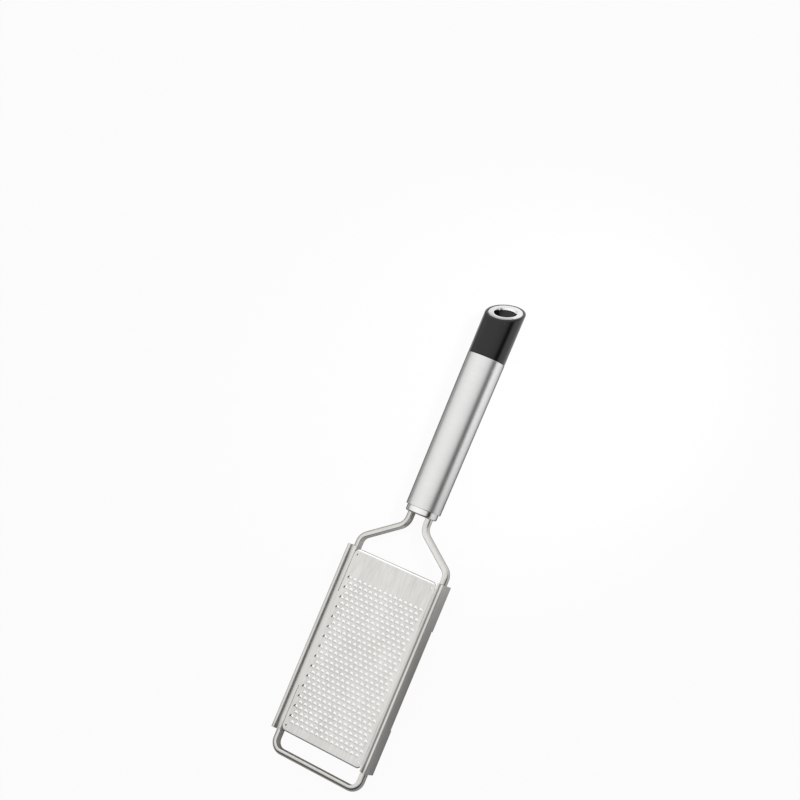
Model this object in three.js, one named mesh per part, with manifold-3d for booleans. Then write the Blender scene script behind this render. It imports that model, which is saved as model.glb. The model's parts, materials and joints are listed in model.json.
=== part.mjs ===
// Hand-held fine grater: a perforated steel plate between two formed side rails, carried by one bent
// half-round bar whose two legs run into a round handle. The handle is a steel tube closed by a front
// ferrule and by a plastic end cap with a slanted face and a hanging hole in a metal ring.
//
// Built flat in millimetres: X across, Y towards the handle's end, Z out of the grating face, with
// the zero at the plate's middle and in the bar's middle plane. At the end the whole grater is laid
// down as it rests on a table, with the grating face up.

import * as THREE from 'three';
import { mergeGeometries, mergeVertices } from 'three/addons/utils/BufferGeometryUtils.js';
import Module from 'manifold-3d';

// Fits
const clearance = 0.3; // between pieces that touch on the real grater

// Grating plate
const plateWidth = 63.4;
const plateLength = 127.4; // over the rolled-down ends
const plateThickness = 0.6;
const plateRise = 4.6; // grating face above the bar's middle plane
const plateCornerRadius = 3;
const lipRadius = 1.2; // outside radius of the rolled-down ends
const lipDrop = 0.8; // straight part below the roll
const cornerHoleRadius = 0.6;
const cornerHoleInsetX = 2.5;
const cornerHoleInsetY = 4;

// Tooth field, staggered rows
const toothPitch = 4; // between the teeth of a row
const toothRowPitch = 3.4641; // between rows
const toothSideMargin = 3.7; // plate's side to the outer teeth
const toothTopMargin = 19.4; // plate's handle end to the first row
const toothBottomMargin = 7.5; // least distance from the last row to the plate's free end
const toothWidth = 2.3; // cutting edge of an opening
const toothCrown = 1.2; // opposite side of an opening
const toothDepth = 1.3;

// Side rails, folded sheet
const railThickness = 0.6;
const railOverhang = 0.6; // past each end of the plate
const railFoot = 0.05; // level part beside the plate
const footRadius = 3.7; // cove between the level part and the wall, all bends at the sheet's middle
const wallAngle = 65; // degrees
const rimRadius = 1.1; // rolled rim
const rimRise = 2.8; // rim's top above the grating face
const tabLength = 30.5; // flat end part of the outer flange
const tabDrop = 4.1; // tab's lower edge below the bar's middle plane
const hemRadius = 1.2; // bend of the flange's middle part, which grips the bar from below
const hemReach = 2.4; // level part of the hem
const hemSlit = 0.8; // between hem and tab

// Bent bar, half round with its flat side inwards
const barWidth = 4;
const barHeight = 6.4;
const barEdgeRadius = 0.6; // edges of the flat side
const barGap = 1; // rail's outer flange to the bar
const loopGap = 13.7; // plate's free end to the loop's centre line
const loopRadius = 7;
const shoulderRise = 8; // plate's handle end to the shoulder's corner
const shoulderRadius = 8;
const neckRise = 19; // shoulder's corner to the neck's corner
const neckRadius = 9;
const neckLength = 8.4; // neck's corner to the ferrule
const legReach = 55; // legs past the ferrule's outer end

// Handle
const ferruleHeight = 4.25; // shown in front of the tube
const ferruleEdgeRadius = 1.2;
const ferruleSpigot = 8; // inside the tube
const tubeFrontRadius = 11.9;
const tubeRearRadius = 12.7;
const tubeWall = 0.9;
const tubeLength = 106;
const coreWall = 1.7; // inside of the tube to the legs
const coreEnd = 6; // past the legs' ends
const pinRadius = 1.5;
const pinSetback = 14; // pin to the legs' ends
const pinMargin = 0.8; // pin's ends to the core's skin

// End cap and eyelet
const capLength = 32.65; // tube's end to the middle of the slanted face
const capFlare = 0.15; // growth in radius towards the end
const capSpigot = 14;
const capRim = 1.9; // plastic left round the eyelet
const endSlant = 31.5; // degrees, the face looks to the grating side
const eyeletRadius = 7.3; // hanging hole
const eyeletDepth = 1.6; // below the face, along the handle
const holeDepth = 24; // hanging hole, from the middle of the face

// Facets
const roundSides = 40;
const pinSides = 16;
const cornerHoleSides = 8;
const bendSteps = 6;
const plateCornerSteps = 4;
const barEdgeSteps = 2;
const barRoundSteps = 12;

// Rounding
const weldDistance = 1e-4;
const countSlack = 1e-6;

const wasm = await Module();
wasm.setup();

// Closed, welded copy of a geometry with its faces pointing out
function weld(geometry) {
  const bare = new THREE.BufferGeometry();
  bare.setAttribute('position', geometry.getAttribute('position').clone());
  if (geometry.getIndex()) bare.setIndex(geometry.getIndex().clone());
  const merged = mergeVertices(bare, weldDistance);
  const source = merged.getIndex().array;
  const kept = [];
  for (let i = 0; i < source.length; i += 3) {
    const [a, b, c] = [source[i], source[i + 1], source[i + 2]];
    if (a !== b && b !== c && c !== a) kept.push(a, b, c);
  }
  const place = merged.getAttribute('position');
  const [a, b, c] = [new THREE.Vector3(), new THREE.Vector3(), new THREE.Vector3()];
  let volume = 0;
  for (let i = 0; i < kept.length; i += 3) {
    a.fromBufferAttribute(place, kept[i]);
    b.fromBufferAttribute(place, kept[i + 1]);
    c.fromBufferAttribute(place, kept[i + 2]);
    volume += a.dot(b.cross(c));
  }
  if (volume < 0) kept.reverse();
  merged.setIndex(kept);
  return merged;
}

function toSolid(geometry) {
  const welded = weld(geometry);
  const vertProperties = new Float32Array(welded.getAttribute('position').array);
  const triVerts = new Uint32Array(welded.getIndex().array);
  return new wasm.Manifold(new wasm.Mesh({ numProp: 3, vertProperties, triVerts }));
}

function toGeometry(solid) {
  const mesh = solid.getMesh();
  const geometry = new THREE.BufferGeometry();
  geometry.setAttribute('position', new THREE.BufferAttribute(mesh.vertProperties, 3));
  geometry.setIndex(new THREE.BufferAttribute(mesh.triVerts, 1));
  return geometry;
}

// Points of an arc from one angle to another, both ends included
function arcPoints(x, y, radius, from, to, steps = bendSteps) {
  return Array.from({ length: steps + 1 }, (_, i) => {
    const angle = from + ((to - from) * i) / steps;
    return new THREE.Vector2(x + radius * Math.cos(angle), y + radius * Math.sin(angle));
  });
}

// Outline of a rectangle with round corners, centred on the zero
function roundedRectangle(width, height, radius, steps) {
  const x = width / 2 - radius;
  const y = height / 2 - radius;
  const quarter = Math.PI / 2;
  return [
    ...arcPoints(x, y, radius, 0, quarter, steps),
    ...arcPoints(-x, y, radius, quarter, 2 * quarter, steps),
    ...arcPoints(-x, -y, radius, 2 * quarter, 3 * quarter, steps),
    ...arcPoints(x, -y, radius, 3 * quarter, 4 * quarter, steps),
  ];
}

// Line through the corners, each rounded to its radius
function filletedLine(corners) {
  const points = [];
  corners.forEach(({ x, y, radius }, i) => {
    const corner = new THREE.Vector2(x, y);
    if (!radius) {
      points.push(corner);
      return;
    }
    const back = new THREE.Vector2(corners[i - 1].x, corners[i - 1].y).sub(corner).normalize();
    const on = new THREE.Vector2(corners[i + 1].x, corners[i + 1].y).sub(corner).normalize();
    const half = Math.acos(back.dot(on)) / 2;
    const centre = back.clone().add(on).normalize().multiplyScalar(radius / Math.sin(half)).add(corner);
    const start = back.clone().multiplyScalar(radius / Math.tan(half)).add(corner).sub(centre).angle();
    const end = on.clone().multiplyScalar(radius / Math.tan(half)).add(corner).sub(centre).angle();
    const turn = Math.atan2(Math.sin(end - start), Math.cos(end - start));
    points.push(...arcPoints(centre.x, centre.y, radius, start, start + turn));
  });
  return points;
}

// Unit normals to the left of a line, lengthened at its corners so that a strip keeps its width
function mitreNormals(line) {
  const along = line.slice(1).map((point, i) => point.clone().sub(line[i]).normalize());
  return line.map((_, i) => {
    const before = along[Math.max(i - 1, 0)];
    const after = along[Math.min(i, along.length - 1)];
    const mean = before.clone().add(after).normalize();
    return new THREE.Vector2(-mean.y, mean.x).divideScalar(mean.dot(after));
  });
}

// Outline of a strip of even thickness along a line
function stripOutline(line, thickness) {
  const normals = mitreNormals(line);
  const side = (offset) => line.map((point, i) => point.clone().addScaledVector(normals[i], offset));
  return [...side(thickness / 2), ...side(-thickness / 2).reverse()];
}

// Section of the bar, or of its channel when it grows by a clearance: X outwards from the flat side, Y up
function barSection(growth = 0) {
  const quarter = Math.PI / 2;
  const roundX = (barWidth - barHeight) / 2;
  const edgeX = barEdgeRadius - barWidth / 2;
  const edgeY = barHeight / 2 - barEdgeRadius;
  const edge = barEdgeRadius + growth;
  return [
    ...arcPoints(roundX, 0, barHeight / 2 + growth, -quarter, quarter, barRoundSteps),
    ...arcPoints(edgeX, edgeY, edge, quarter, 2 * quarter, barEdgeSteps),
    ...arcPoints(edgeX, -edgeY, edge, 2 * quarter, 3 * quarter, barEdgeSteps),
  ];
}

// Section carried along a flat line; the section's second coordinate is Z
function sweep(section, line) {
  const normals = mitreNormals(line);
  const count = section.length;
  const positions = [];
  line.forEach((point, i) => {
    section.forEach((s) => positions.push(point.x + normals[i].x * s.x, point.y + normals[i].y * s.x, s.y));
  });
  const index = [];
  for (let i = 0; i + 1 < line.length; i += 1) {
    for (let j = 0; j < count; j += 1) {
      const [p, q] = [i * count + j, i * count + ((j + 1) % count)];
      index.push(p, p + count, q, q, p + count, q + count);
    }
  }
  const last = (line.length - 1) * count;
  THREE.ShapeUtils.triangulateShape(section, []).forEach(([a, b, c]) => {
    index.push(a, b, c, last + a, last + c, last + b);
  });
  const geometry = new THREE.BufferGeometry();
  geometry.setAttribute('position', new THREE.Float32BufferAttribute(positions, 3));
  geometry.setIndex(index);
  return weld(geometry);
}

// Outline in X and Y, extruded upwards
function upright(outline, start, height) {
  const shape = new THREE.Shape(outline);
  return new THREE.ExtrudeGeometry(shape, { depth: height, bevelEnabled: false }).translate(0, 0, start);
}

// Outline in X and Z, extruded towards the handle
function alongY(outline, start, length) {
  const shape = new THREE.Shape(outline.map((p) => new THREE.Vector2(p.x, -p.y)));
  const geometry = new THREE.ExtrudeGeometry(shape, { depth: length, bevelEnabled: false });
  return geometry.rotateX(-Math.PI / 2).translate(0, start, 0);
}

// Outline in Y and Z, extruded across the grater and centred
function alongX(outline, width) {
  const shape = new THREE.Shape(outline.map((p) => new THREE.Vector2(-p.y, p.x)));
  const geometry = new THREE.ExtrudeGeometry(shape, { depth: width, bevelEnabled: false });
  return geometry.rotateY(Math.PI / 2).translate(-width / 2, 0, 0);
}

function turned(profile) {
  return new THREE.LatheGeometry(profile.map(([radius, y]) => new THREE.Vector2(radius, y)), roundSides);
}

function cylinder(radius, start, length) {
  return new THREE.CylinderGeometry(radius, radius, length, roundSides).translate(0, start + length / 2, 0);
}

// Places that several pieces share
const plateEnd = plateLength / 2;
const plateUnder = plateRise - plateThickness;
const railEnd = plateEnd + railOverhang;
const railStart = plateWidth / 2 + clearance;
const plateMiddle = plateRise - plateThickness / 2;
const wall = THREE.MathUtils.degToRad(wallAngle);
const rimZ = plateRise + rimRise - railThickness / 2 - rimRadius;
const wallFoot = new THREE.Vector2(
  railStart + railFoot + footRadius * Math.sin(wall),
  plateMiddle + footRadius * (1 - Math.cos(wall)),
);
const wallTopZ = rimZ + rimRadius * Math.cos(wall);
const rimX = wallFoot.x + (wallTopZ - wallFoot.y) / Math.tan(wall) + rimRadius * Math.sin(wall);
const flangeX = rimX + rimRadius;
const barX = flangeX - railThickness / 2 - barGap - barWidth / 2;
const hemZ = -(barHeight / 2 + clearance + railThickness / 2);
const loopY = -plateEnd - loopGap;
const shoulderY = plateEnd + shoulderRise;
const neckY = shoulderY + neckRise;
const ferruleY = neckY + neckLength;
const tubeY = ferruleY + ferruleHeight;
const capY = tubeY + tubeLength;
const faceY = capY + capLength;
const legX = tubeFrontRadius - tubeWall - coreWall - barWidth / 2;
const legEndY = ferruleY + legReach;
const pinY = legEndY - pinSetback;
const plugRadius = tubeFrontRadius - tubeWall - clearance;
const slant = THREE.MathUtils.degToRad(endSlant);

function tubeInside(y) {
  const share = (y - tubeY) / tubeLength;
  return tubeFrontRadius + (tubeRearRadius - tubeFrontRadius) * share - tubeWall;
}

// Openings in staggered rows, counted from the handle's end
function toothCentres() {
  const columns = Math.floor((plateWidth - 2 * toothSideMargin) / toothPitch + countSlack) + 1;
  const field = plateLength - toothTopMargin - toothBottomMargin;
  const rows = Math.floor(field / toothRowPitch + countSlack) + 1;
  const centres = [];
  for (let row = 0; row < rows; row += 1) {
    const count = row % 2 ? columns - 1 : columns;
    for (let column = 0; column < count; column += 1) {
      const x = (column - (count - 1) / 2) * toothPitch;
      centres.push(new THREE.Vector2(x, plateEnd - toothTopMargin - row * toothRowPitch));
    }
  }
  return centres;
}

// Flat sheet with its openings, and each end rolled down
function gratingPlate() {
  const flatLength = plateLength - 2 * lipRadius;
  const outlines = toothCentres().map(({ x, y }) => [
    new THREE.Vector2(x - toothWidth / 2, y - toothDepth / 2),
    new THREE.Vector2(x + toothWidth / 2, y - toothDepth / 2),
    new THREE.Vector2(x + toothCrown / 2, y + toothDepth / 2),
    new THREE.Vector2(x - toothCrown / 2, y + toothDepth / 2),
  ]);
  for (const sideX of [-1, 1]) {
    for (const sideY of [-1, 1]) {
      const x = sideX * (plateWidth / 2 - cornerHoleInsetX);
      const y = sideY * (plateEnd - cornerHoleInsetY);
      outlines.push(arcPoints(x, y, cornerHoleRadius, 0, 2 * Math.PI, cornerHoleSides).slice(1));
    }
  }
  const cutStart = plateUnder - plateThickness;
  const openings = outlines.map((outline) => upright(outline, cutStart, 3 * plateThickness));
  const flatOutline = roundedRectangle(plateWidth, flatLength, plateCornerRadius, plateCornerSteps);
  const flat = upright(flatOutline, plateUnder, plateThickness);
  const lineRadius = lipRadius - plateThickness / 2;
  const overlap = lipRadius / 2;
  const lipLine = [
    new THREE.Vector2(plateEnd - lipRadius - overlap, plateRise - plateThickness / 2),
    ...arcPoints(plateEnd - lipRadius, plateRise - lipRadius, lineRadius, Math.PI / 2, 0),
    new THREE.Vector2(plateEnd - plateThickness / 2, plateRise - lipRadius - lipDrop),
  ];
  const lip = alongX(stripOutline(lipLine, plateThickness), plateWidth - 2 * plateCornerRadius);
  const sheet = toSolid(flat).add(toSolid(lip)).add(toSolid(lip.clone().rotateZ(Math.PI)));
  return toGeometry(sheet.subtract(toSolid(mergeGeometries(openings))));
}

// Level foot beside the plate, wall, rolled rim and outer flange; the flange ends in two flat tabs and,
// between them, in a hem folded under the bar
function sideRail(side) {
  const overlap = railThickness / 2;
  const bendZ = hemZ + hemRadius;
  const footX = railStart + railFoot;
  const line = [
    new THREE.Vector2(railStart, plateMiddle),
    ...arcPoints(footX, plateMiddle + footRadius, footRadius, -Math.PI / 2, wall - Math.PI / 2),
    ...arcPoints(rimX, rimZ, rimRadius, wall + Math.PI / 2, 0, 2 * bendSteps),
    new THREE.Vector2(flangeX, bendZ),
  ];
  const hemLine = [
    new THREE.Vector2(flangeX, bendZ + overlap),
    ...arcPoints(flangeX - hemRadius, bendZ, hemRadius, 0, -Math.PI / 2),
    new THREE.Vector2(flangeX - hemRadius - hemReach, hemZ),
  ];
  const middle = railEnd - tabLength - hemSlit;
  const tabHeight = bendZ + overlap + tabDrop;
  const tab = new THREE.BoxGeometry(railThickness, tabLength, tabHeight);
  tab.translate(flangeX, railEnd - tabLength / 2, tabHeight / 2 - tabDrop);
  const rail = toSolid(alongY(stripOutline(line, railThickness), -railEnd, 2 * railEnd))
    .add(toSolid(alongY(stripOutline(hemLine, railThickness), -middle, 2 * middle)))
    .add(toSolid(tab))
    .add(toSolid(tab.clone().translate(0, tabLength - 2 * railEnd, 0)));
  const geometry = toGeometry(rail);
  return side > 0 ? geometry : weld(geometry.scale(-1, 1, 1));
}

// One bar from leg end to leg end: leg, neck, shoulder, side, loop, and back up the other side
function frameBar() {
  const right = [
    { x: legX, y: legEndY },
    { x: legX, y: neckY, radius: neckRadius },
    { x: barX, y: shoulderY, radius: shoulderRadius },
    { x: barX, y: loopY, radius: loopRadius },
  ];
  const left = right.map((corner) => ({ ...corner, x: -corner.x })).reverse();
  const bar = toSolid(sweep(barSection(), filletedLine([...right, ...left])));
  return toGeometry(bar.subtract(pinSolid(clearance)));
}

// Pin across both legs, or the hole for it when it grows by a clearance
function pinSolid(growth) {
  const length = 2 * (plugRadius - pinMargin + growth);
  const pin = new THREE.CylinderGeometry(pinRadius + growth, pinRadius + growth, length, pinSides);
  return toSolid(pin.rotateZ(Math.PI / 2).translate(0, pinY, 0));
}

// Room for both legs through a piece of the handle
function legChannels(start, length) {
  const channel = alongY(barSection(clearance), start, length).translate(legX, 0, 0);
  return toSolid(channel).add(toSolid(channel.clone().scale(-1, 1, 1)));
}

// Plug that closes the tube's front, with a rounded outer edge
function frontFerrule() {
  const edgeX = plugRadius - ferruleEdgeRadius;
  const edge = arcPoints(edgeX, ferruleY + ferruleEdgeRadius, ferruleEdgeRadius, -Math.PI / 2, 0);
  const top = tubeY + ferruleSpigot;
  const profile = [[0, ferruleY], ...edge.map((p) => [p.x, p.y]), [plugRadius, top], [0, top]];
  const length = ferruleHeight + ferruleSpigot;
  const channels = legChannels(ferruleY - length / 2, 2 * length);
  return toGeometry(toSolid(turned(profile)).subtract(channels));
}

function handleTube() {
  const rear = tubeY + tubeLength;
  return weld(turned([
    [tubeFrontRadius - tubeWall, tubeY],
    [tubeFrontRadius, tubeY],
    [tubeRearRadius, rear],
    [tubeRearRadius - tubeWall, rear],
    [tubeFrontRadius - tubeWall, tubeY],
  ]));
}

// Moulded block in the tube that grips the legs and the pin
function handleCore() {
  const start = tubeY + ferruleSpigot + clearance;
  const length = legEndY + coreEnd - start;
  const channels = legChannels(start - coreEnd, legEndY + clearance - start + coreEnd);
  const block = toSolid(cylinder(plugRadius, start, length));
  return toGeometry(block.subtract(channels).subtract(pinSolid(clearance)));
}

// Everything beyond the slanted face at the handle's end, or beyond a level below it
function beyondFace(depth = 0) {
  const reach = 4 * tubeRearRadius;
  const block = new THREE.BoxGeometry(reach, reach, 2 * reach).translate(0, reach / 2, 0);
  return toSolid(block.rotateX(slant).translate(0, faceY - depth, 0));
}

const capEndRadius = tubeRearRadius + capFlare;
const pocketRadius = capEndRadius - capRim;
const capTop = faceY + capEndRadius * Math.tan(slant);

// Spigot in the tube, slanted body, pocket for the eyelet and the rest of the hanging hole
function endCap() {
  const spigotEnd = capY - capSpigot;
  const spigotRadius = tubeInside(spigotEnd) - clearance;
  const seat = capY + clearance;
  const body = toSolid(turned([
    [0, spigotEnd],
    [spigotRadius, spigotEnd],
    [spigotRadius, seat],
    [tubeRearRadius, seat],
    [capEndRadius, capTop],
    [0, capTop],
  ]));
  const bore = toSolid(cylinder(pocketRadius, capY, capTop - capY));
  const pocket = bore.intersect(beyondFace(eyeletDepth + clearance));
  const hole = toSolid(cylinder(eyeletRadius, faceY - holeDepth, capTop - faceY + holeDepth));
  return toGeometry(body.subtract(beyondFace()).subtract(pocket).subtract(hole));
}

// Metal ring round the hanging hole, flush with the slanted face
function eyeletRing() {
  const outside = pocketRadius - clearance;
  const ring = toSolid(turned([
    [eyeletRadius, capY],
    [outside, capY],
    [outside, capTop],
    [eyeletRadius, capTop],
    [eyeletRadius, capY],
  ]));
  return toGeometry(ring.intersect(beyondFace(eyeletDepth)).subtract(beyondFace()));
}

const brushedSteel = { color: 0xc9c7c3, roughness: 0.38, metalness: 1 };
const satinSteel = { color: 0xb9b8b5, roughness: 0.3, metalness: 1 };
const polishedSteel = { color: 0xd4d4d4, roughness: 0.12, metalness: 1 };
const blackPlastic = { color: 0x262626, roughness: 0.5, metalness: 0 };
const greyPlastic = { color: 0x8a8a88, roughness: 0.6, metalness: 0 };

const grater = new THREE.Group();

function addPiece(name, geometry, finish) {
  const faceted = geometry.toNonIndexed();
  faceted.computeVertexNormals();
  const piece = new THREE.Mesh(faceted, new THREE.MeshStandardMaterial(finish));
  piece.name = name;
  grater.add(piece);
}

addPiece('grating_plate', gratingPlate(), brushedSteel);
addPiece('left_side_rail', sideRail(-1), satinSteel);
addPiece('right_side_rail', sideRail(1), satinSteel);
addPiece('frame_bar', frameBar(), satinSteel);
addPiece('front_ferrule', frontFerrule(), polishedSteel);
addPiece('handle_tube', handleTube(), brushedSteel);
addPiece('handle_core', handleCore(), greyPlastic);
addPiece('leg_lock_pin', toGeometry(pinSolid(0)), satinSteel);
addPiece('end_cap', endCap(), blackPlastic);
addPiece('eyelet_ring', eyeletRing(), polishedSteel);

// Laid down on the two feet, one under the grating part and one under the handle, that leave no other
// foot below the table, with the zero under the middle
const gratingFeet = [[loopY, barHeight / 2], [-railEnd, tabDrop]];
const handleFeet = [[tubeY, tubeFrontRadius], [capY, tubeRearRadius], [capTop, capEndRadius]];
const pairs = gratingFeet.flatMap((near) => handleFeet.map((far) => {
  const slope = (far[1] - near[1]) / (far[0] - near[0]);
  const below = ([y, depth]) => depth - near[1] - slope * (y - near[0]);
  return { slope, sunk: Math.max(...[...gratingFeet, ...handleFeet].map(below)) };
}));
pairs.sort((a, b) => a.sunk - b.sunk);
grater.rotation.x = Math.atan(pairs[0].slope);
const lying = new THREE.Group();
lying.add(grater);
const extent = new THREE.Box3().setFromObject(lying, true);
const middle = extent.getCenter(new THREE.Vector3());
grater.position.set(-middle.x, -middle.y, -extent.min.z);

export default lying;
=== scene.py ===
# Fine grater: steel sheet, bar and handle with their finishes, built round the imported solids
import json
import math

import bmesh
import bpy
import numpy as np
from mathutils import Matrix, Vector


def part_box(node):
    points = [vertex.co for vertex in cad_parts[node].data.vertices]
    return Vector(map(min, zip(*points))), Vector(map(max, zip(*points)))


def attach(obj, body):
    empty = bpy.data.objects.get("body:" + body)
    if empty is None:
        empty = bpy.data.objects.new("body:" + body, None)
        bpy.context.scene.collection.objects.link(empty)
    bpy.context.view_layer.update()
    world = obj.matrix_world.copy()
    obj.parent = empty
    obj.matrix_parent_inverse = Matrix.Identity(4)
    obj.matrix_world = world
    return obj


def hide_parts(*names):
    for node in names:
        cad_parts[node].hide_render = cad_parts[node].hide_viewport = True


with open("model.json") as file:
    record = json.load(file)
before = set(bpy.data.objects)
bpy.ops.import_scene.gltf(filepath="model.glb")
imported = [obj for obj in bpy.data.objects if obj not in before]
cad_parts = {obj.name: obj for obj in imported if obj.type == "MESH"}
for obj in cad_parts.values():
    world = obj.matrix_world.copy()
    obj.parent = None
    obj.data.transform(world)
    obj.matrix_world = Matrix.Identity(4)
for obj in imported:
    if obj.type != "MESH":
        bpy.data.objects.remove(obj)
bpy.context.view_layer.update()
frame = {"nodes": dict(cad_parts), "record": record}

# sizes below are millimetres in the flat grater: X across, Y to the handle's end, Z out of the grating face,
# zero at the plate's middle and in the bar's middle plane
mm = 0.001
grater = dict(pinY=140.1, mergeDistance=0.002, edgeSegments=2)
plateFace = next(m for m in frame["record"]["mounts"] if m["name"] == "plate_face")
restTilt = math.atan2(-plateFace["axis"][1], plateFace["axis"][2])  # the grater lies a little tilted
restTurn = Matrix.Rotation(restTilt, 3, "X")
pinLow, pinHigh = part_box("leg_lock_pin")
restShift = (pinLow + pinHigh) / 2 - restTurn @ Vector((0, grater["pinY"] * mm, 0))
print("frame loaded, rest tilt", round(math.degrees(restTilt), 3), "degrees")


# flat millimetres to the frame's metres: turned by the rest tilt about X, then shifted
def toFrame(points):
    return points @ np.array(restTurn).T * mm + np.array(restShift)


# points of a circle's arc from one angle to the other, in degrees, both ends included
def arc(x, y, radius, start, end, steps):
    angle = np.radians(np.linspace(start, end, steps + 1))
    return np.stack([x + radius * np.cos(angle), y + radius * np.sin(angle)], -1)


# quads between neighbouring rings, each ring closed on itself
def ringFaces(rings, count, loop=False):
    i = np.arange(rings if loop else rings - 1)[:, None]
    j = np.arange(count)[None, :]
    here, there = i * count, (i + 1) % rings * count
    nextJ = (j + 1) % count
    return np.stack([here + j, here + nextJ, there + nextJ, there + j], -1).reshape(-1, 4)


# quads of an open grid
def gridFaces(rows, columns):
    i = np.arange(rows - 1)[:, None] * columns
    j = np.arange(columns - 1)[None, :]
    return np.stack([i + j, i + j + 1, i + j + 1 + columns, i + j + columns], -1).reshape(-1, 4)


# points closer than the merge distance become one, and all faces turn outwards
def weldMesh(mesh):
    work = bmesh.new()
    work.from_mesh(mesh)
    bmesh.ops.remove_doubles(work, verts=work.verts, dist=grater["mergeDistance"] * mm)
    bmesh.ops.recalc_face_normals(work, faces=work.faces)
    work.to_mesh(mesh)
    work.free()


# patches of points and faces become one welded piece; a sheet gets its thickness on both sides of its middle
def makePiece(name, patches, finish, cadNode, wall=0, edge=0, sharpAngle=40):
    starts = np.cumsum([0] + [len(points) for points, faces in patches])
    points = toFrame(np.concatenate([points for points, faces in patches]))
    faces = [f for start, (p, quads) in zip(starts, patches) for f in (quads + start).tolist()]
    mesh = bpy.data.meshes.new(name)
    mesh.from_pydata(points.tolist(), [], faces)
    weldMesh(mesh)
    piece = bpy.data.objects.new(name, mesh)
    bpy.context.scene.collection.objects.link(piece)
    if wall:
        thicken = piece.modifiers.new("sheet", "SOLIDIFY")
        thicken.thickness = wall * mm
        thicken.offset = 0
        thicken.use_even_offset = True
    if edge:
        rounding = piece.modifiers.new("edges", "BEVEL")
        rounding.width = edge * mm
        rounding.segments = grater["edgeSegments"]
        rounding.limit_method = "ANGLE"
        rounding.angle_limit = math.radians(sharpAngle)
    if piece.modifiers:
        bpy.context.view_layer.update()
        solid = bpy.data.meshes.new_from_object(piece.evaluated_get(bpy.context.evaluated_depsgraph_get()))
        piece.modifiers.clear()
        piece.data = solid
        weldMesh(solid)
    piece.data.shade_smooth()
    piece.data.set_sharp_from_angle(angle=math.radians(sharpAngle))
    piece.data.materials.clear()
    piece.data.materials.append(finish)
    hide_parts(cadNode)
    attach(piece, "root")
    print(name, len(piece.data.polygons), "faces")


# sRGB hex to linear colour
def linear(hexColour):
    value = np.array([int(hexColour[i:i + 2], 16) for i in (1, 3, 5)]) / 255
    value = np.where(value <= 0.04045, value / 12.92, ((value + 0.055) / 1.055) ** 2.4)
    return (*value.tolist(), 1.0)


# one node with its settings; an input is a value or a link from another node's socket
def addNode(tree, kind, inputs=None, **settings):
    node = tree.nodes.new(kind)
    for key, value in settings.items():
        setattr(node, key, value)
    for socket, value in (inputs or {}).items():
        if isinstance(value, bpy.types.NodeSocket):
            tree.links.new(value, node.inputs[socket])
        else:
            node.inputs[socket].default_value = value
    return node


steelGrain = dict(streakDetail=3.0, streakRoughness=0.6, cloudDetail=2.0, toneSpread=0.25)


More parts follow.
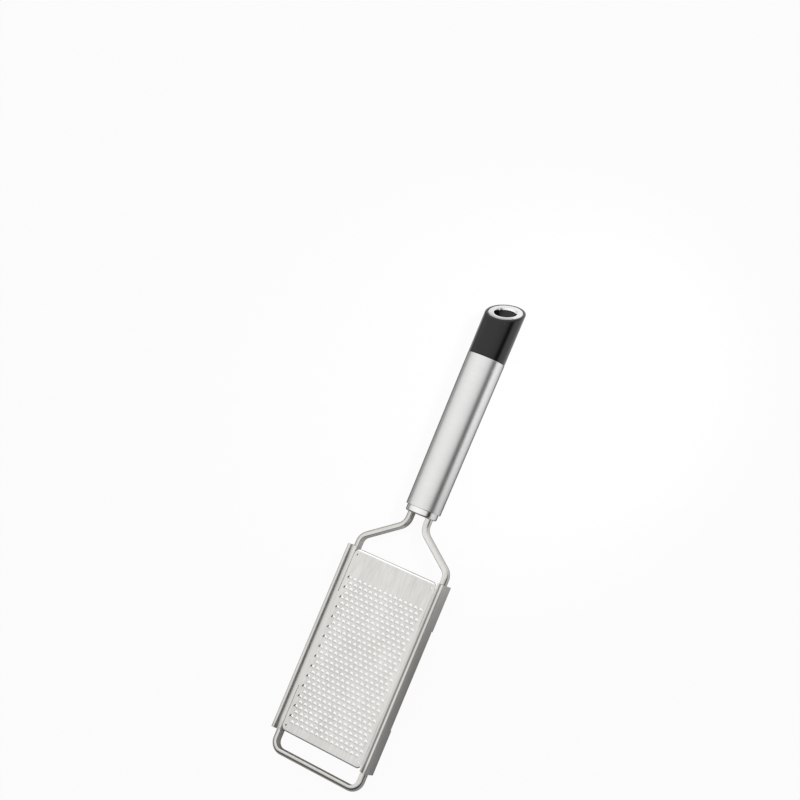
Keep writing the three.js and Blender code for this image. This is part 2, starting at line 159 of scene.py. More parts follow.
# steel: streaks of a grain stretched along one way shift the tone, the roughness and the surface a little,
# and soft clouds shift the tone over a few centimetres; where a painted highlight is asked for, the tone
# passes to a near-white painted one and the roughness to a lower one between its two places along Y
def steel(name, look):
    material = bpy.data.materials.new(name)
    material.use_nodes = True
    tree = material.node_tree
    shader = tree.nodes["Principled BSDF"]
    shader.inputs["Metallic"].default_value = 1.0
    # painted shade: an edge tint below 1 darkens the metal's reflection at grazing angles, standing in for
    # dark surroundings seen along its outlines
    shader.inputs["Specular Tint"].default_value = (*[look.get("outlineShadeTint", 1)] * 3, 1)
    place = addNode(tree, "ShaderNodeTexCoord").outputs["Object"]
    lying = {"Vector": place, "Location": restShift, "Rotation": (restTilt, 0, 0)}
    grainPlace = addNode(tree, "ShaderNodeMapping", {
        **lying, "Scale": [size * mm for size in look["grain"]]}, vector_type="TEXTURE")
    cloudPlace = addNode(tree, "ShaderNodeMapping", {
        **lying, "Scale": [size * mm for size in look["cloud"]]}, vector_type="TEXTURE")
    streaks = addNode(tree, "ShaderNodeTexNoise", {
        "Vector": grainPlace.outputs["Vector"], "Scale": 1.0,
        "Detail": steelGrain["streakDetail"], "Roughness": steelGrain["streakRoughness"]})
    clouds = addNode(tree, "ShaderNodeTexNoise", {
        "Vector": cloudPlace.outputs["Vector"], "Scale": 1.0, "Detail": steelGrain["cloudDetail"]})
    mixed = addNode(tree, "ShaderNodeMath", {
        0: clouds.outputs["Fac"], 1: look["cloudShare"], 2: streaks.outputs["Fac"]}, operation="MULTIPLY_ADD")
    middle = (1 + look["cloudShare"]) / 2
    tone = addNode(tree, "ShaderNodeMapRange", {
        "Value": mixed.outputs["Value"],
        "From Min": middle - steelGrain["toneSpread"], "From Max": middle + steelGrain["toneSpread"]})
    colour = addNode(tree, "ShaderNodeMix", {
        0: tone.outputs["Result"], 6: linear(look["dark"]), 7: linear(look["light"])}, data_type="RGBA")
    rough = addNode(tree, "ShaderNodeMapRange", {
        "Value": tone.outputs["Result"], "To Min": look["rough"][1], "To Max": look["rough"][0]})
    bump = addNode(tree, "ShaderNodeBump", {
        "Height": streaks.outputs["Fac"], "Strength": look["bump"], "Distance": look["depth"] * mm})
    # painted highlight: along the roll at the handle's end the tone passes to a near-white one that stands in
    # for its bright reflection, and the roughness to a lower one
    if "paintedGlint" in look:
        flatPlace = addNode(tree, "ShaderNodeMapping", {
            **lying, "Scale": (mm, mm, mm)}, vector_type="TEXTURE")
        along = addNode(tree, "ShaderNodeSeparateXYZ", {"Vector": flatPlace.outputs["Vector"]})
        paintedGlintShare = addNode(tree, "ShaderNodeMapRange", {
            "Value": along.outputs["Y"],
            "From Min": look["paintedGlint"][0], "From Max": look["paintedGlint"][1]}).outputs["Result"]
        colour = addNode(tree, "ShaderNodeMix", {
            0: paintedGlintShare, 6: colour.outputs[2], 7: linear(look["paintedGlintTone"])}, data_type="RGBA")
        rough = addNode(tree, "ShaderNodeMapRange", {
            "Value": paintedGlintShare, "To Min": rough.outputs["Result"], "To Max": look["paintedGlintRough"]})
    tree.links.new(colour.outputs[2], shader.inputs["Base Color"])
    tree.links.new(rough.outputs["Result"], shader.inputs["Roughness"])
    tree.links.new(bump.outputs["Normal"], shader.inputs["Normal"])
    return material


plasticGrain = dict(detail=2.0)


# plastic: an even fine moulded grain in tone, roughness and surface
def mouldedPlastic(name, look):
    material = bpy.data.materials.new(name)
    material.use_nodes = True
    tree = material.node_tree
    shader = tree.nodes["Principled BSDF"]
    shader.inputs["IOR"].default_value = look["ior"]
    place = addNode(tree, "ShaderNodeTexCoord").outputs["Object"]
    grain = addNode(tree, "ShaderNodeTexNoise", {
        "Vector": place, "Scale": 1 / (look["grain"] * mm), "Detail": plasticGrain["detail"]})
    clouds = addNode(tree, "ShaderNodeTexNoise", {
        "Vector": place, "Scale": 1 / (look["cloud"] * mm), "Detail": plasticGrain["detail"]})
    colour = addNode(tree, "ShaderNodeMix", {
        0: clouds.outputs["Fac"], 6: linear(look["dark"]), 7: linear(look["light"])}, data_type="RGBA")
    rough = addNode(tree, "ShaderNodeMapRange", {
        "Value": grain.outputs["Fac"], "To Min": look["rough"][0], "To Max": look["rough"][1]})
    bump = addNode(tree, "ShaderNodeBump", {
        "Height": grain.outputs["Fac"], "Strength": look["bump"], "Distance": look["depth"] * mm})
    tree.links.new(colour.outputs[2], shader.inputs["Base Color"])
    tree.links.new(rough.outputs["Result"], shader.inputs["Roughness"])
    tree.links.new(bump.outputs["Normal"], shader.inputs["Normal"])
    return material


# an edge tint below 1 darkens the metal's grazing reflection, a painted shade along its outlines; 0 paints it
# black
# grain and cloud are the millimetres of one grain or cloud in X, Y and Z; depth is the grain's millimetres

# stainless sheet, belt-brushed along the plate: pale, slightly warm, with short streaks; real streaks are
# finer than a pixel, so they are drawn about half a millimetre wide to show; the roll at the handle's end
# is smoother and painted near white, a painted highlight along the roll
plateFinish = dict(light="#E1DFDC", dark="#C8C6C2", rough=(0.28, 0.38), grain=(0.45, 9, 0.45),
                   outlineShadeTint=0.6, cloud=(9, 30, 9), cloudShare=0.5, bump=0.15, depth=0.02,
                   paintedGlint=(62.2, 62.6), paintedGlintTone="#FAFAF8", paintedGlintRough=0.16)
# the same sheet, folded: brushed along the rail, a little darker, with longer streaks
railFinish = dict(light="#DAD8D5", dark="#CAC8C4", rough=(0.28, 0.38), grain=(0.4, 22, 0.4),
                  outlineShadeTint=0.6, cloud=(6, 40, 6), cloudShare=0.4, bump=0.1, depth=0.02)
# stainless half-round bar, tumbled after bending: satin, an even fine grain
barFinish = dict(light="#DAD8D5", dark="#C8C6C2", rough=(0.16, 0.24), grain=(0.6, 2.5, 0.6),
                 outlineShadeTint=0.6, cloud=(12, 12, 12), cloudShare=0.4, bump=0.1, depth=0.02)
# stainless tube, satin-brushed round the handle: broad soft bands of light; its grazing reflection is painted
# black, a painted shade along its outline
tubeFinish = dict(light="#DFDFDE", dark="#D8D8D7", rough=(0.27, 0.31), grain=(9, 0.35, 9), outlineShadeTint=0,
                  cloud=(30, 20, 30), cloudShare=0.3, bump=0.008, depth=0.02)
# stainless, buffed to a mirror: almost no grain, a faint haze; its grazing reflection is painted black, a
# painted shade along its outline
polishedFinish = dict(light="#EFEFEE", dark="#E8E8E7", rough=(0.03, 0.06), grain=(3, 0.6, 3), outlineShadeTint=0,
                      cloud=(8, 8, 8), cloudShare=0.5, bump=0.03, depth=0.01)
# stainless ring, pressed and tumbled: bright, a soft haze
ringFinish = dict(light="#F2F2F0", dark="#E6E6E4", rough=(0.12, 0.2), grain=(1, 1, 1),
                  cloud=(5, 5, 5), cloudShare=0.5, bump=0.05, depth=0.01)
# turned steel pin, bare: grey, with rings round it
pinFinish = dict(light="#BDBCB9", dark="#A5A4A1", rough=(0.3, 0.4), grain=(0.15, 2, 2),
                 cloud=(5, 5, 5), cloudShare=0.3, bump=0.1, depth=0.01)
# black polypropylene, moulded with a faint grain: deep black with a smooth sheen
capFinish = dict(light="#050506", dark="#030303", rough=(0.14, 0.18), ior=1.45, grain=0.35, cloud=12,
                 bump=0.12, depth=0.03)
# grey polypropylene, moulded: matt, even
coreFinish = dict(light="#8E8E8B", dark="#7E7E7B", rough=(0.5, 0.62), ior=1.49, grain=0.5, cloud=10,
                  bump=0.1, depth=0.03)

plateSteel = steel("stainless sheet, belt-brushed", plateFinish)
railSteel = steel("stainless sheet, brushed and folded", railFinish)
barSteel = steel("stainless bar, tumbled satin", barFinish)
tubeSteel = steel("stainless tube, satin-brushed", tubeFinish)
polishedSteel = steel("stainless steel, buffed", polishedFinish)
ringSteel = steel("stainless ring, pressed bright", ringFinish)
pinSteel = steel("steel pin, turned", pinFinish)
capPlastic = mouldedPlastic("polypropylene, moulded black", capFinish)
corePlastic = mouldedPlastic("polypropylene, moulded grey", coreFinish)
frame["nodes"]["handle_core"].material_slots[0].material = corePlastic
frame["nodes"]["leg_lock_pin"].material_slots[0].material = pinSteel
print("materials made")


# holeCell is half the square round a corner hole and the spacing of the blank ends' lines; edgeLines are
# the lines along the plate's sides, measured in from the edge
plate = dict(width=63.4, length=127.4, thickness=0.6, rise=4.6, cornerRadius=3, edgeLines=(1.1, 0.6, 0.2, 0),
             lipRadius=1.2, lipDrop=0.8, lipSteps=8, lipFade=0.8, lipMargin=0.1,
             holeRadius=0.6, holeInset=(2.5, 4), holeCell=1, blankLines=5,
             sheet=0.4, pitch=4, rowPitch=3.4641, rows=30, columns=15, topMargin=19.4,
             openingWidth=3.25, openingDepth=2.25, edgeHeight=0.25, edgeRun=0.4, edgeSag=0.7, footGap=0.1)


# one tooth's tile: a rectangle of the sheet, the foot of its bulge and the crescent opening, whose hollow
# side towards the loop is raised as a cutting edge
def toothTile(p):
    w, h = p["pitch"] / 2, p["rowPitch"] / 2
    rim = [(-w, -h), (-w / 2, -h), (0, -h), (w / 2, -h), (w, -h), (w, 0),
           (w, h), (w / 2, h), (0, h), (-w / 2, h), (-w, h), (-w, 0)]
    across = np.linspace(-1, 1, 5)
    dome = np.sqrt(1 - across ** 2)
    half, depth = p["openingWidth"] / 2, p["openingDepth"]
    angle = np.radians(np.linspace(0, 180, 9)[1:-1])
    hollow = np.stack([across * half, across * 0 - depth / 2], -1)
    arch = np.stack([half * np.cos(angle), depth * np.sin(angle) - depth / 2], -1)
    foot = np.concatenate([hollow - np.stack([across * 0, p["footGap"] + p["edgeRun"] * dome], -1), arch])
    foot[:, 0] *= 1 + p["footGap"] / half
    foot[len(across):, 1] += p["footGap"]
    hollow[:, 1] += p["edgeSag"] * dome
    lift = np.concatenate([p["edgeHeight"] * dome, angle * 0])
    flat = np.zeros((len(rim), 1))
    return np.concatenate([np.hstack([rim, flat]), np.hstack([foot, flat]),
                           np.hstack([np.concatenate([hollow, arch]), lift[:, None]])])


# tiles copied to their centres
def tiled(tile, faces, centres):
    points = (centres[:, None, :] + tile[None]).reshape(-1, 3)
    starts = np.arange(len(centres))[:, None, None] * len(tile)
    return points, (faces[None] + starts).reshape(-1, faces.shape[1])


# blank end of the plate from the tooth field on: flat to a line with round corners, then rolled down;
# the roll fades out round the corners
def plateEndPatches(p, start, middle, sideLines, fieldHalf, toEnd):
    end, half, radius, cell = p["length"] / 2, p["width"] / 2, p["cornerRadius"], p["holeCell"]
    lines = np.concatenate([-sideLines[::-1], np.arange(cell - fieldHalf, fieldHalf, cell), sideLines])
    reach = np.maximum(np.abs(lines) - (half - radius), 0)
    edgeY = end - p["lipRadius"] - radius + np.sqrt(radius ** 2 - reach ** 2)
    holeX, holeY = half - p["holeInset"][0], end - p["holeInset"][1]
    steps = np.concatenate([np.linspace(start, holeY - cell, p["blankLines"]),
                            [holeY, holeY + cell, end - p["lipRadius"]]])
    y = np.repeat(steps[:, None], len(lines), 1)
    share = (y - start) / (y[-1] - start)
    y = np.where(np.abs(lines) > fieldHalf, start + share * (edgeY - start), y)
    y[-1] = edgeY
    x = np.repeat(lines[None], len(steps), 0)
    faces = gridFaces(len(steps), len(lines))
    cellX = np.abs(x.ravel()[faces].mean(1))
    cellY = y.ravel()[faces].mean(1)
    holed = (cellX > fieldHalf - 2 * cell) & (cellX < fieldHalf) & (np.abs(cellY - holeY) < cell)
    flat = np.stack([x, y * toEnd, np.full_like(x, middle)], -1).reshape(-1, 3)
    patches = [(flat, faces[~holed])]
    # the hole starts at the square's first corner and has two points for each of the square's
    square = np.array([(-1, -1), (0, -1), (1, -1), (1, 0), (1, 1), (0, 1), (-1, 1), (-1, 0)])
    count = len(square)
    hole = arc(holeX, holeY, p["holeRadius"], 225, 225 + 360, 2 * count)[:-1]
    i = np.arange(count)
    pentagons = np.stack([i, (i + 1) % count, count + (2 * i + 2) % (2 * count),
                          count + 2 * i + 1, count + 2 * i], -1)
    ring = np.concatenate([square * cell + (fieldHalf - cell, holeY), hole])
    for side in (-1, 1):
        around = np.stack([ring[:, 0] * side, ring[:, 1] * toEnd, np.full(len(ring), middle)], -1)
        patches.append((around, pentagons))
    rolled = np.abs(lines) < half - p["lipRadius"] / 2 + p["lipMargin"]
    fade = 1 - p["lipFade"] * np.clip((np.abs(lines[rolled]) - (half - radius)) / radius, 0, 1)
    lineRadius = p["lipRadius"] - p["sheet"] / 2
    angle = np.radians(np.linspace(0, 90, p["lipSteps"] + 1))
    out = np.append(lineRadius * np.sin(angle), lineRadius)
    down = np.append(lineRadius * (1 - np.cos(angle)), lineRadius + p["lipDrop"])
    lipY = edgeY[rolled] + out[:, None] * fade
    lipZ = middle - down[:, None] * fade
    lipX = np.repeat(lines[rolled][None], len(out), 0)
    patches.append((np.stack([lipX, lipY * toEnd, lipZ], -1).reshape(-1, 3), gridFaces(*lipX.shape)))
    return patches


# the toothed plate: tiles in staggered rows, blank strips beside them and a blank end on both sides
def toothedPlate(p):
    middle = p["rise"] - p["sheet"] / 2
    fieldHalf = p["columns"] * p["pitch"] / 2
    rowY = p["length"] / 2 - p["topMargin"] - np.arange(p["rows"]) * p["rowPitch"]
    wide = (np.arange(p["columns"]) - (p["columns"] - 1) / 2) * p["pitch"]
    narrow = (np.arange(p["columns"] - 1) - (p["columns"] - 2) / 2) * p["pitch"]
    centres = np.concatenate([np.stack(np.meshgrid(wide, rowY[::2]), -1).reshape(-1, 2),
                              np.stack(np.meshgrid(narrow, rowY[1::2]), -1).reshape(-1, 2)])
    centres = np.column_stack([centres, np.full(len(centres), middle)])
    tile = toothTile(p)
    patches = [tiled(tile, ringFaces(3, len(tile) // 3), centres)]
    cell, three = p["holeCell"], np.array((-1, 0, 1))
    blankX, blankY = np.meshgrid(three * cell, three * p["rowPitch"] / 2)
    blank = np.stack([blankX, blankY, blankX * 0], -1).reshape(-1, 3)
    besideX, besideY = np.meshgrid((cell - fieldHalf, fieldHalf - cell), rowY[1::2])
    beside = np.stack([besideX, besideY, np.full_like(besideX, middle)], -1).reshape(-1, 3)
    patches.append(tiled(blank, gridFaces(3, 3), beside))
    sideLines = p["width"] / 2 - np.array([p["width"] / 2 - fieldHalf, *p["edgeLines"]])
    top, bottom = rowY[0] + p["rowPitch"] / 2, rowY[-1] - p["rowPitch"] / 2
    for side in (-1, 1):
        stripX, stripY = np.meshgrid(sideLines * side, np.linspace(bottom, top, 2 * p["rows"] + 1))
        strip = np.stack([stripX, stripY, np.full_like(stripX, middle)], -1).reshape(-1, 3)
        patches.append((strip, gridFaces(*stripX.shape)))
    patches += plateEndPatches(p, top, middle, sideLines, fieldHalf, 1)
    patches += plateEndPatches(p, -bottom, middle, sideLines, fieldHalf, -1)
    return patches


makePiece("plate_with_teeth", toothedPlate(plate), plateSteel, "grating_plate",
          wall=plate["sheet"], sharpAngle=38)


# hemLines and tabLines are the places along the rail with a line of points
rail = dict(thickness=0.6, overhang=0.6, clearance=0.3, foot=0.05, footRadius=3.7, wallAngle=65,
            rimRadius=1.1, rimRise=2.8, tabLength=30.5, tabDrop=4.1, hemRadius=1.2, hemReach=2.4,
            hemSlit=0.8, slitEnd=0.05, reliefWidth=0.55, edge=0.12, bendSteps=8, rimSteps=24,
            hemLines=(0, 8, 16, 24), tabLines=(40, 48, 56))
bar = dict(width=4, height=6.4, edgeRadius=0.6, gap=1, loopGap=13.7, loopRadius=7, shoulderRise=8,
           shoulderRadius=8, neckRise=19, neckRadius=9, neckLength=8.4, legReach=55,
           bendSteps=20, roundSteps=28, edgeSteps=6)
plateEdge = plate["width"] / 2
plateEnd = plate["length"] / 2
plateMiddle = plate["rise"] - plate["thickness"] / 2
wallTurn = math.radians(rail["wallAngle"])
rimZ = plate["rise"] + rail["rimRise"] - rail["thickness"] / 2 - rail["rimRadius"]
footX = plateEdge + rail["clearance"] + rail["foot"]
wallFootX = footX + rail["footRadius"] * math.sin(wallTurn)
wallFootZ = plateMiddle + rail["footRadius"] * (1 - math.cos(wallTurn))
wallTopZ = rimZ + rail["rimRadius"] * math.cos(wallTurn)
rimX = wallFootX + (wallTopZ - wallFootZ) / math.tan(wallTurn) + rail["rimRadius"] * math.sin(wallTurn)
flangeX = rimX + rail["rimRadius"]
barX = flangeX - rail["thickness"] / 2 - bar["gap"] - bar["width"] / 2
hemZ = -(bar["height"] / 2 + rail["clearance"] + rail["thickness"] / 2)


# side rail: one section, cove, wall, rolled rim and flange, carried along the plate; below the flange two
# flat tabs and, between them, a hem under the bar; slits part the tabs from the hem and, along them, the
# cove from the plate
def railSheet(r, side):
    end = plateEnd + r["overhang"]
    tabStart = end - r["tabLength"]
    hemEnd = tabStart - r["hemSlit"]
    bendZ = hemZ + r["hemRadius"]
    section = np.concatenate([
        [(footX - r["foot"], plateMiddle)],
        arc(footX, plateMiddle + r["footRadius"], r["footRadius"], -90, r["wallAngle"] - 90, r["bendSteps"]),
        arc(rimX, rimZ, r["rimRadius"], r["wallAngle"] + 90, 0, r["rimSteps"]),
        [(flangeX, bendZ)]])
    half = np.array([*r["hemLines"], hemEnd, hemEnd + r["slitEnd"],
                     tabStart - r["slitEnd"], tabStart, *r["tabLines"], end])
    lines = np.concatenate([-half[:0:-1], half])
    away = np.abs(lines)
    start = np.where(away > hemEnd, plateEdge + r["reliefWidth"], plateEdge)
    start = np.where(away >= tabStart, plateEdge + r["clearance"], start)
    x = np.repeat(section[None, :, 0], len(lines), 0)
    x[:, 0] = start
    x = np.maximum(x, start[:, None])  # a slit wider than the first line moves the next ones too
    z = np.repeat(section[None, :, 1], len(lines), 0)
    y = np.repeat(lines[:, None], len(section), 1)
    patches = [(np.stack([x * side, y, z], -1).reshape(-1, 3), gridFaces(*x.shape))]
    hem = np.concatenate([arc(flangeX - r["hemRadius"], bendZ, r["hemRadius"], 0, -90, r["bendSteps"]),
                          [(flangeX - r["hemRadius"] - r["hemReach"], hemZ)]])
    tab = np.array([(flangeX, bendZ), (flangeX, (bendZ - r["tabDrop"]) / 2), (flangeX, -r["tabDrop"])])
    for kept, lower in ((away <= hemEnd, hem), (lines >= tabStart, tab), (lines <= -tabStart, tab)):
        lowerX, lowerY = np.meshgrid(lower[:, 0] * side, lines[kept])
        lowerZ = np.repeat(lower[None, :, 1], kept.sum(), 0)
        patches.append((np.stack([lowerX, lowerY, lowerZ], -1).reshape(-1, 3), gridFaces(*lowerX.shape)))
    return patches


rails = (("left_rail_sheet", "left_side_rail", -1), ("right_rail_sheet", "right_side_rail", 1))
for railName, cadNode, side in rails:
    makePiece(railName, railSheet(rail, side), railSteel, cadNode,
              wall=rail["thickness"], edge=rail["edge"])


# leastCosine keeps the channel's flat side finite where a ray runs along it
handle = dict(ferruleHeight=4.25, ferruleEdge=1.2, ferruleSpigot=8, tubeFront=11.9, tubeRear=12.7,
              tubeWall=0.9, tubeLength=106, tubeBevel=0.25, coreWall=1.7, legGap=0.1, leastCosine=0.01,
              edgeSteps=10, webSteps=16, sides=96, tubeSides=128)
cap = dict(length=32.65, flare=0.15, spigot=14, rim=1.9, rimRounding=1.0, slant=31.5, seatBevel=0.2,
           eyeletRadius=7.3, eyeletDepth=1.6, eyeletRounding=0.5, eyeletBevel=0.12, holeDepth=24,
           clearance=0.3, rimSteps=8, eyeletSteps=6, sides=128)
loopY = -plateEnd - bar["loopGap"]
shoulderY = plateEnd + bar["shoulderRise"]
neckY = shoulderY + bar["neckRise"]
ferruleY = neckY + bar["neckLength"]
tubeY = ferruleY + handle["ferruleHeight"]
capY = tubeY + handle["tubeLength"]
faceY = capY + cap["length"]
legX = handle["tubeFront"] - handle["tubeWall"] - handle["coreWall"] - bar["width"] / 2
plugRadius = handle["tubeFront"] - handle["tubeWall"] - rail["clearance"]


# flat line through corners, each rounded to its radius
def filletedLine(corners, steps):
    runs = []
    for (x0, y0, _), (x, y, radius), (x1, y1, _) in zip(corners[:-2], corners[1:-1], corners[2:]):
        back = Vector((x0 - x, y0 - y)).normalized()
        on = Vector((x1 - x, y1 - y)).normalized()
        half = back.angle(on) / 2
        centre = Vector((x, y)) + (back + on).normalized() * radius / math.sin(half)
        first = Vector((x, y)) + back * radius / math.tan(half) - centre
        last = Vector((x, y)) + on * radius / math.tan(half) - centre
        start = math.degrees(math.atan2(first.y, first.x))
        turn = math.degrees(-first.angle_signed(last))
        runs.append(arc(centre.x, centre.y, radius, start, start + turn, steps))
    return np.concatenate([[corners[0][:2]], *runs, [corners[-1][:2]]])


# bent bar: half round, flat side inwards, carried along its line, both ends closed
def bentBar(b):
    right = [(legX, ferruleY + b["legReach"], 0), (legX, neckY, b["neckRadius"]),
             (barX, shoulderY, b["shoulderRadius"]), (barX, loopY, b["loopRadius"])]
    left = [(-x, y, radius) for x, y, radius in reversed(right)]
    line = filletedLine(right + left, b["bendSteps"])
    step = np.diff(line, axis=0)
    step /= np.linalg.norm(step, axis=1)[:, None]
    along = np.concatenate([step[:1], step[:-1] + step[1:], step[-1:]])
    along /= np.linalg.norm(along, axis=1)[:, None]
    half, edge = b["height"] / 2, b["edgeRadius"]
    flatX, edgeZ = edge - b["width"] / 2, half - edge
    section = np.concatenate([arc(b["width"] / 2 - half, 0, half, -90, 90, b["roundSteps"]),
                              arc(flatX, edgeZ, edge, 90, 180, b["edgeSteps"]),
                              arc(flatX, -edgeZ, edge, 180, 270, b["edgeSteps"])])
    px = line[:, :1] - along[:, 1:] * section[None, :, 0]
    py = line[:, 1:] + along[:, :1] * section[None, :, 0]
    pz = np.repeat(section[None, :, 1], len(line), 0)
    points = np.stack([px, py, pz], -1)
    cover = np.arange(len(section))[None]
    return [(points.reshape(-1, 3), ringFaces(*px.shape)), (points[0], cover), (points[-1], cover)]


makePiece("bent_bar", bentBar(bar), barSteel, "frame_bar", sharpAngle=60)


# profile of radius and place along Y, turned about the handle's axis; where the third value is 1, the place
# is measured from the slanted end face, which drops as Z grows
def turned(profile, sides, slope=0, loop=False):
    profile = np.array(profile, float)
    angle = np.arange(sides) * 2 * np.pi / sides
    x = profile[:, :1] * np.cos(angle)
    z = profile[:, :1] * np.sin(angle)
    y = profile[:, 1:2] - profile[:, 2:3] * slope * z
    return np.stack([x, y, z], -1).reshape(-1, 3), ringFaces(len(profile), sides, loop)


# ferrule: turned plug with a rounded front edge; each half of its end faces is a web between the half circle
# and the leg's half-round channel
def ferrule(h):
    top = tubeY + h["ferruleSpigot"]
    rounding = h["ferruleEdge"]
    edge = arc(plugRadius - rounding, ferruleY + rounding, rounding, -90, 0, h["edgeSteps"])
    profile = [(r, y, 0) for r, y in edge] + [(plugRadius, top, 0)]
    patches = [turned(profile, h["sides"])]
    roundX, roundRadius = (bar["width"] - bar["height"]) / 2, bar["height"] / 2 + h["legGap"]
    rings = []
    for radius, y in ((edge[0, 0], ferruleY), (plugRadius, top)):
        webZ = np.linspace(radius, -radius, h["webSteps"] + 1)[1:-1]
        outline = np.concatenate([arc(0, 0, radius, -90, 90, h["sides"] // 2),
                                  np.stack([webZ * 0, webZ], -1)])
        turn = np.arctan2(outline[:, 1], outline[:, 0] - legX)
        beside = roundX * np.cos(turn)
        roundReach = beside + np.sqrt(beside ** 2 - roundX ** 2 + roundRadius ** 2)
        flatReach = (bar["width"] / 2 + h["legGap"]) / np.maximum(-np.cos(turn), h["leastCosine"])
        reach = np.minimum(roundReach, flatReach)
        channel = np.stack([legX + reach * np.cos(turn), reach * np.sin(turn)], -1)
        pair = [outline, channel] if not rings else [channel, outline]
        rings += [np.stack([ring[:, 0], np.full(len(ring), y), ring[:, 1]], -1) for ring in pair]
    rings = np.array(rings)
    faces = ringFaces(*rings.shape[:2])
    for side in (1, -1):
        patches.append(((rings * (side, 1, 1)).reshape(-1, 3), faces))
    return patches


makePiece("polished_ferrule", ferrule(handle), polishedSteel, "front_ferrule",
          sharpAngle=35)


# tube: tapered wall with small bevels at both ends, closed on itself; a ring close to each bevel keeps the
# long side's shading straight
def tube(h):
    front, rear, wall, bevel = h["tubeFront"], h["tubeRear"], h["tubeWall"], h["tubeBevel"]
    taper = (rear - front) / (h["tubeLength"] - 2 * bevel)
    profile = [(front - wall, tubeY, 0), (front - bevel, tubeY, 0), (front - bevel / 3, tubeY + bevel / 3, 0),
               (front, tubeY + bevel, 0), (front + taper * bevel, tubeY + 2 * bevel, 0),
               (rear - taper * bevel, capY - 2 * bevel, 0), (rear, capY - bevel, 0),
               (rear - bevel / 3, capY - bevel / 3, 0), (rear - bevel, capY, 0), (rear - wall, capY, 0)]
    return [turned(profile, h["tubeSides"], loop=True)]


makePiece("brushed_tube", tube(handle), tubeSteel, "handle_tube", sharpAngle=35)

slope = math.tan(math.radians(cap["slant"]))
capRadius = handle["tubeRear"] + cap["flare"]
pocketRadius = capRadius - cap["rim"]


# end cap: spigot, seat, wall up to the slanted face with a rounded rim, pocket of the ring, blind hole
def slantedCap(c):
    spigotEnd = capY - c["spigot"]
    share = (spigotEnd - tubeY) / handle["tubeLength"]
    inside = handle["tubeFront"] + (handle["tubeRear"] - handle["tubeFront"]) * share - handle["tubeWall"]
    spigotRadius = inside - c["clearance"]
    seat = capY + c["clearance"] / 3
    bevel, rounding = c["seatBevel"], c["rimRounding"]
    profile = [(0, spigotEnd, 0), (spigotRadius, spigotEnd, 0), (spigotRadius, seat, 0),
               (handle["tubeRear"] - bevel, seat, 0), (handle["tubeRear"], seat + bevel, 0)]
    turn = np.radians(np.linspace(0, 90, c["rimSteps"] + 1))
    rimRadius = capRadius - rounding * (1 - np.cos(turn))
    rimDepth = rounding * (1 - np.sin(turn))
    profile += [(r, faceY - d, 1) for r, d in zip(rimRadius, rimDepth)]
    pocketFloor = faceY - c["eyeletDepth"] - c["clearance"]
    profile += [(pocketRadius, faceY, 1), (pocketRadius, pocketFloor, 1), (c["eyeletRadius"], pocketFloor, 1),
                (c["eyeletRadius"], faceY - c["holeDepth"], 0), (0, faceY - c["holeDepth"], 0)]
    return [turned(profile, c["sides"], slope)]


makePiece("slanted_cap", slantedCap(cap), capPlastic, "end_cap", sharpAngle=35)


# eyelet: shallow ring flush with the slanted face, its inner edge rounded into the hole
def eyelet(c):
    foot = faceY - c["eyeletDepth"]
    outside = pocketRadius - c["clearance"] / 2
    rounding, bevel = c["eyeletRounding"], c["eyeletBevel"]
    turn = np.radians(np.linspace(0, 90, c["eyeletSteps"] + 1))
    innerRadius = c["eyeletRadius"] + rounding * (1 - np.sin(turn))
    innerDepth = rounding * (1 - np.cos(turn))
    profile = [(c["eyeletRadius"], foot, 1), (outside, foot, 1), (outside, faceY - bevel, 1),
               (outside - bevel, faceY, 1)]
    profile += [(r, faceY - d, 1) for r, d in zip(innerRadius, innerDepth)]
    return [turned(profile, c["sides"], slope, loop=True)]


makePiece("eyelet_lining", eyelet(cap), ringSteel, "eyelet_ring", sharpAngle=35)
print("pieces made")


# studio: camera, pale floor, bright dome that darkens towards the horizon, one soft lamp aimed at the floor
# beside the handle; the frame's millimetres, apart from farEnd in metres
camera = dict(place=(524.2, -18.6, 1056.0), aim=(-55.1, 79.5, 0), roll=-57.5, lens=81.22,
              sensor=36, farEnd=100)
# seenShare and mirroredShare: how much of the floor is plain white to the camera and in reflections;
# domeStops: how far a direction goes along domeLean, and the dome's strength there
studio = dict(floorColour="#B4B4B4", floorSize=40000, seenShare=0.95, mirroredShare=0.04,
              domeLean=(-0.16, 0.5, 0.85), domeTop=2,
              domeStops=((0.05, 0.06), (0.17, 0.32), (0.34, 0.85), (0.5, 0.95), (1.0, 1.2)),
              fillPlace=(260, 230, 330), fillAim=(25, 120, 0), fillCone=46, fillBlend=1.0,
              fillSize=30, fillPower=14)
scene = bpy.context.scene
scene.view_settings.view_transform = "Standard"
lens = bpy.data.cameras.new("camera")
lens.lens = camera["lens"]
lens.sensor_width = camera["sensor"]
lens.clip_end = camera["farEnd"]
viewer = bpy.data.objects.new("camera", lens)
place = Vector(camera["place"]) * mm
look = (Vector(camera["aim"]) * mm - place).to_track_quat("-Z", "Y").to_matrix().to_4x4()
viewer.matrix_world = Matrix.Translation(place) @ look @ Matrix.Rotation(math.radians(camera["roll"]), 4, "Z")
scene.collection.objects.link(viewer)
scene.camera = viewer

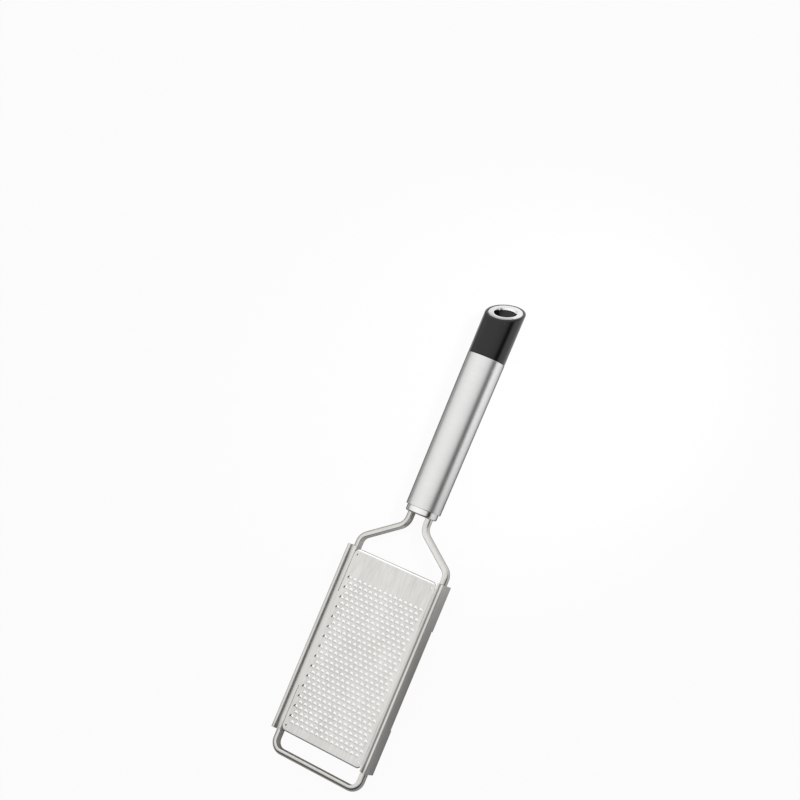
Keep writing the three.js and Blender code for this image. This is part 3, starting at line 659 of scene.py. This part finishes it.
half = studio["floorSize"] / 2 * mm
floorMesh = bpy.data.meshes.new("floor")
corners = [(-half, -half, 0), (half, -half, 0), (half, half, 0), (-half, half, 0)]
floorMesh.from_pydata(corners, [], [(0, 1, 2, 3)])
floor = bpy.data.objects.new("floor", floorMesh)
scene.collection.objects.link(floor)
floorPaint = bpy.data.materials.new("white paper floor")  # matt paper: white to the eye, with a soft shadow
floorPaint.use_nodes = True
tree = floorPaint.node_tree
tree.nodes.clear()
paper = addNode(tree, "ShaderNodeBsdfDiffuse", {"Color": linear(studio["floorColour"])})
glow = addNode(tree, "ShaderNodeEmission", {"Color": (1, 1, 1, 1), "Strength": 1.0})
rays = addNode(tree, "ShaderNodeLightPath").outputs
mirrored = addNode(tree, "ShaderNodeMath", {0: rays["Is Glossy Ray"], 1: rays["Is Transmission Ray"]},
                   operation="ADD", use_clamp=True)
mirroredShare = addNode(tree, "ShaderNodeMath", {
    0: mirrored.outputs["Value"], 1: studio["mirroredShare"]}, operation="MULTIPLY")
share = addNode(tree, "ShaderNodeMath", {
    0: rays["Is Camera Ray"], 1: studio["seenShare"], 2: mirroredShare.outputs["Value"]},
    operation="MULTIPLY_ADD")
mixed = addNode(tree, "ShaderNodeMixShader", {
    0: share.outputs["Value"], 1: paper.outputs["BSDF"], 2: glow.outputs["Emission"]})
addNode(tree, "ShaderNodeOutputMaterial", {"Surface": mixed.outputs["Shader"]})
floorMesh.materials.append(floorPaint)

# the dome is white to the camera, and shaded by its stops to everything else
dome = bpy.data.worlds.new("studio dome")
dome.use_nodes = True
tree = dome.node_tree
toward = addNode(tree, "ShaderNodeTexCoord").outputs["Generated"]
lean = addNode(tree, "ShaderNodeVectorMath", {0: toward, 1: studio["domeLean"]}, operation="DOT_PRODUCT")
level = addNode(tree, "ShaderNodeFloatCurve", {"Value": lean.outputs["Value"]})
curve = level.mapping.curves[0]
curve.points[0].location = studio["domeStops"][0]
curve.points[1].location = studio["domeStops"][-1]
for stop in studio["domeStops"][1:-1]:
    curve.points.new(*stop)
level.mapping.extend = "HORIZONTAL"
level.mapping.clip_max_y = studio["domeTop"]
level.mapping.update()
seen = addNode(tree, "ShaderNodeLightPath").outputs["Is Camera Ray"]
strength = addNode(tree, "ShaderNodeMix", {0: seen, 2: level.outputs["Value"], 3: 1.0}, data_type="FLOAT")
tree.links.new(strength.outputs[0], tree.nodes["Background"].inputs["Strength"])
tree.nodes["Background"].inputs["Color"].default_value = (1, 1, 1, 1)
scene.world = dome

fill = bpy.data.lights.new("paper fill", "SPOT")
fill.spot_size = math.radians(studio["fillCone"])
fill.spot_blend = studio["fillBlend"]
fill.shadow_soft_size = studio["fillSize"] * mm
fill.energy = studio["fillPower"]
lamp = bpy.data.objects.new("paper fill", fill)
lamp.location = Vector(studio["fillPlace"]) * mm
lamp.rotation_euler = (Vector(studio["fillAim"]) * mm - lamp.location).to_track_quat("-Z", "Y").to_euler()
lamp.visible_glossy = False
scene.collection.objects.link(lamp)
print("studio made")
